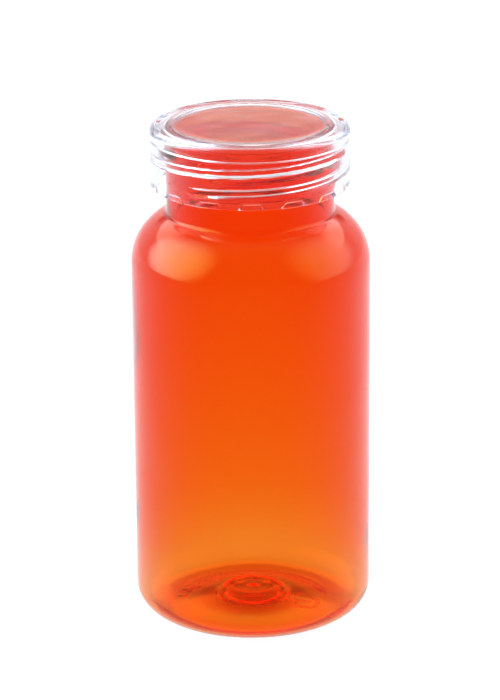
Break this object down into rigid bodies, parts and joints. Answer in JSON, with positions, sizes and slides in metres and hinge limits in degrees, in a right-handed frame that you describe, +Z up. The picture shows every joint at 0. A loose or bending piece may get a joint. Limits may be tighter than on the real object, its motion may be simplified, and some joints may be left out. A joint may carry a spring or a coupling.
{
  "type": "prescription vial",
  "caption": "Round-shouldered amber-orange pharmacy bottle with a short neck and a clear, thick-walled, ratchet-edged screw cap over a clear liner ring.",
  "frame": {"origin": "on the vial's axis, in the plane that it stands on", "axes": "+Z up along the axis towards the cap; -Y is the side that faces the viewer"},
  "size_m": [0.0498, 0.0498, 0.1068],
  "materials": {
    "bottle_orange": "transparent orange, glossy, blow-moulded",
    "cap_clear": "clear, glossy, injection-moulded",
    "liner_clear": "clear, smooth film"
  },
  "bodies": {
    "bottle": {"bottle": "bottle_orange"},
    "liner": {"liner": "liner_clear"},
    "cap": {"cap": "cap_clear"}
  },
  "joints": [
    {"name": "cap_turn", "type": "hinge", "parent": "liner", "child": "cap", "pos_m": [0, 0, 0.1], "axis": [0, 0, 1], "range_deg": [0, 1080]},
    {"name": "cap_lift", "type": "slide", "parent": "bottle", "child": "liner", "axis": [0, 0, 1], "range_m": [0, 0.0127]}
  ],
  "couplings": [
    {"joint": "cap_lift", "follows": "cap_turn", "m_per_rad": 0.0006737}
  ]
}
